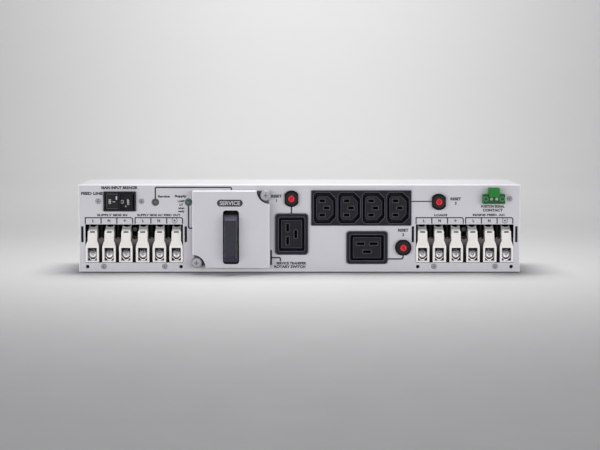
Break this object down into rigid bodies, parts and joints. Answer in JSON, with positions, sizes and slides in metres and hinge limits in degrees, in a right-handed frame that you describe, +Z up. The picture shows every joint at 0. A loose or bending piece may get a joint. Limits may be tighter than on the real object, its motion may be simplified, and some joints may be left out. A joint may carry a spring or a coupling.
{
  "type": "rackmount maintenance bypass and distribution unit",
  "caption": "Shallow 2U steel box with screw terminals, appliance outlets, a rotary maintenance bypass switch under a slotted cover, an input rocker breaker and reset buttons.",
  "frame": {"origin": "centre of the underside of the enclosure", "axes": "+X to the right along the width when facing the connection panel, +Z up, -Y out of the connection panel"},
  "size_m": [0.438, 0.1296, 0.0865],
  "materials": {
    "panel_paint": "fine satin powder coat, light grey",
    "cover_paint": "fine satin powder coat, light grey",
    "painted_screw": "satin grey",
    "zinc_steel": "bright zinc plate",
    "black_plastic": "moulded matte black",
    "handle_plastic": "moulded matte dark grey",
    "white_plastic": "moulded satin white",
    "smoke_lens": "glossy smoked lens",
    "green_lens": "glossy green lens",
    "red_plastic": "glossy red",
    "green_plastic": "moulded satin green",
    "circuit_board": "solder resist",
    "brass": "plain"
  },
  "bodies": {
    "chassis": {"busbar_posts": "black_plastic", "busbars": "brass", "bypass_lamp_lens": "smoke_lens", "bypass_switch_body": "black_plastic", "bypass_switch_plate": "black_plastic", "bypass_switch_screws": "zinc_steel", "bypass_switch_tabs": "brass", "c13_block": "black_plastic", "c19_lying": "black_plastic", "c19_upright": "black_plastic", "chassis_tray": "panel_paint", "connection_panel": "panel_paint", "cover_clinch_nuts": "zinc_steel", "detection_board": "circuit_board", "detection_board_screw": "painted_screw", "detection_header": "green_plastic", "detection_pins": "brass", "detection_switch": "black_plastic", "ear_clinch_nuts": "zinc_steel", "enclosure_screws": "painted_screw", "input_breaker_bezel": "black_plastic", "input_breaker_body": "black_plastic", "input_breaker_screws": "painted_screw", "input_breaker_tabs": "brass", "lamp_holders": "black_plastic", "normal_lamp_lens": "green_lens", "outlet_contacts": "brass", "reset_breakers": "black_plastic", "reset_nuts": "black_plastic", "terminal_base_left": "black_plastic", "terminal_base_right": "black_plastic", "terminal_base_screws": "painted_screw", "terminal_clamp_screws": "zinc_steel", "terminal_clamps": "zinc_steel", "terminal_left_1": "white_plastic", "terminal_left_2": "white_plastic", "terminal_left_3": "white_plastic", "terminal_left_4": "white_plastic", "terminal_left_5": "white_plastic", "terminal_left_6": "white_plastic", "terminal_right_1": "white_plastic", "terminal_right_2": "white_plastic", "terminal_right_3": "white_plastic", "terminal_right_4": "white_plastic", "terminal_right_5": "white_plastic", "terminal_right_6": "white_plastic", "top_cover": "cover_paint"},
    "switch_rotor": {"bypass_handle": "handle_plastic", "bypass_switch_shaft": "zinc_steel", "bypass_switch_cams": "black_plastic"},
    "input_rocker": {"input_rocker": "black_plastic"},
    "bypass_cover": {"bypass_cover": "panel_paint", "bypass_cover_screws": "painted_screw"},
    "detection_plunger": {"detection_plunger": "white_plastic"},
    "detection_plug": {"detection_plug": "green_plastic", "detection_plug_screws": "zinc_steel"},
    "reset_button_1": {"reset_button_1": "red_plastic"},
    "reset_button_2": {"reset_button_2": "red_plastic"},
    "reset_button_3": {"reset_button_3": "red_plastic"}
  },
  "joints": [
    {"name": "bypass_turn", "type": "hinge", "parent": "chassis", "child": "switch_rotor", "pos_m": [-0.0674, -0.05, 0.0344], "axis": [0, -1, 0], "range_deg": [0, 90]},
    {"name": "input_rocker_tilt", "type": "hinge", "parent": "chassis", "child": "input_rocker", "pos_m": [-0.1781, -0.051, 0.0701], "axis": [0, 0, 1], "range_deg": [0, 20]},
    {"name": "cover_lift", "type": "slide", "parent": "chassis", "child": "bypass_cover", "axis": [0, -1, 0], "range_m": [0, 0.05]},
    {"name": "plunger_rise", "type": "slide", "parent": "chassis", "child": "detection_plunger", "axis": [0, -1, 0], "range_m": [0, 0.003]},
    {"name": "detection_plug_pull", "type": "slide", "parent": "chassis", "child": "detection_plug", "axis": [0, -1, 0], "range_m": [0, 0.012]},
    {"name": "reset_1_trip", "type": "slide", "parent": "chassis", "child": "reset_button_1", "axis": [0, -1, 0], "range_m": [0, 0.004]},
    {"name": "reset_2_trip", "type": "slide", "parent": "chassis", "child": "reset_button_2", "axis": [0, -1, 0], "range_m": [0, 0.004]},
    {"name": "reset_3_trip", "type": "slide", "parent": "chassis", "child": "reset_button_3", "axis": [0, -1, 0], "range_m": [0, 0.004]}
  ],
  "couplings": [
    {"joint": "plunger_rise", "follows": "cover_lift", "ratio": 0.06}
  ]
}
